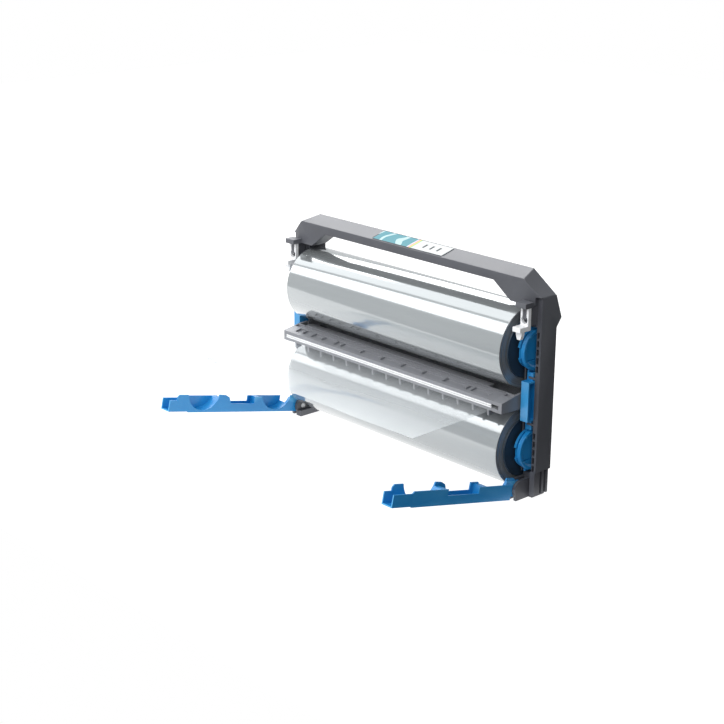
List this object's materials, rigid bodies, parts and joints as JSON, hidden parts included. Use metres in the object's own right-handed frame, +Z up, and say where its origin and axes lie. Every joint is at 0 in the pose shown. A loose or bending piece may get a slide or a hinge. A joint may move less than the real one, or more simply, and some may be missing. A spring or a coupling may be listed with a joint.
{
  "type": "laminating film cartridge",
  "caption": "Film cartridge for a desktop laminator: carrying frame, clear film rolls on blue hubs, a film guide, fold-down reload arms and sliding latches.",
  "frame": {"origin": "centre of the footprint with the arms open, on the surface the feet stand on", "axes": "+X along the film rolls, -Y towards the open arms and the leader, +Z up towards the handle"},
  "size_m": [0.351, 0.2342, 0.223],
  "materials": {
    "frame_plastic": "moulded, fine spark texture",
    "guide_plastic": "moulded, satin",
    "blue_plastic": "moulded, semi-gloss",
    "latch_plastic": "translucent white, moulded",
    "film_roll": "wound clear film, glossy",
    "loose_film": "clear film",
    "core_board": "plain tube",
    "end_disc_plastic": "moulded, satin",
    "label": "printed, satin",
    "steel": "plain"
  },
  "bodies": {
    "root": {"handle_beam": "frame_plastic", "handle_back_cover": "frame_plastic", "label_plate": "label", "left_side_frame": "frame_plastic", "right_side_frame": "frame_plastic", "left_bearing_plate": "frame_plastic", "right_bearing_plate": "frame_plastic", "left_cradle": "blue_plastic", "right_cradle": "blue_plastic", "upper_guide": "guide_plastic", "lower_guide": "guide_plastic", "left_guide_bracket": "guide_plastic", "right_guide_bracket": "guide_plastic", "guide_cross_beam": "frame_plastic", "film_nip_strip": "latch_plastic", "leader_sheet": "loose_film", "upper_web": "loose_film", "lower_web": "loose_film", "left_hinge_pin": "steel", "right_hinge_pin": "steel", "left_latch_post": "frame_plastic", "right_latch_post": "frame_plastic", "handle_screws": "steel", "plate_screws": "steel"},
    "upper_roll": {"upper_film_roll": "film_roll", "upper_core": "core_board", "left_upper_end_disc": "end_disc_plastic", "right_upper_end_disc": "end_disc_plastic", "left_upper_hub": "blue_plastic", "right_upper_hub": "blue_plastic"},
    "lower_roll": {"lower_film_roll": "film_roll", "lower_core": "core_board", "left_lower_end_disc": "end_disc_plastic", "right_lower_end_disc": "end_disc_plastic", "left_lower_hub": "blue_plastic", "right_lower_hub": "blue_plastic"},
    "left_arm": {"left_arm": "blue_plastic"},
    "left_latch": {"left_latch_slider": "latch_plastic"},
    "right_arm": {"right_arm": "blue_plastic"},
    "right_latch": {"right_latch_slider": "latch_plastic"}
  },
  "joints": [
    {"name": "upper_roll_spin", "type": "hinge", "parent": "root", "child": "upper_roll", "pos_m": [0, 0.07711, 0.148], "axis": [1, 0, 0], "continuous": true},
    {"name": "lower_roll_spin", "type": "hinge", "parent": "root", "child": "lower_roll", "pos_m": [0, 0.07711, 0.048], "axis": [1, 0, 0], "continuous": true},
    {"name": "left_arm_fold", "type": "hinge", "parent": "root", "child": "left_arm", "pos_m": [-0.16025, 0.06111, 0.01], "axis": [-1, 0, 0], "range_deg": [0, 77]},
    {"name": "left_latch_slide", "type": "slide", "parent": "root", "child": "left_latch", "axis": [0, 0, 1], "range_m": [-0.004, 0]},
    {"name": "right_arm_fold", "type": "hinge", "parent": "root", "child": "right_arm", "pos_m": [0.16025, 0.06111, 0.01], "axis": [-1, 0, 0], "range_deg": [0, 77]},
    {"name": "right_latch_slide", "type": "slide", "parent": "root", "child": "right_latch", "axis": [0, 0, 1], "range_m": [-0.004, 0]}
  ]
}
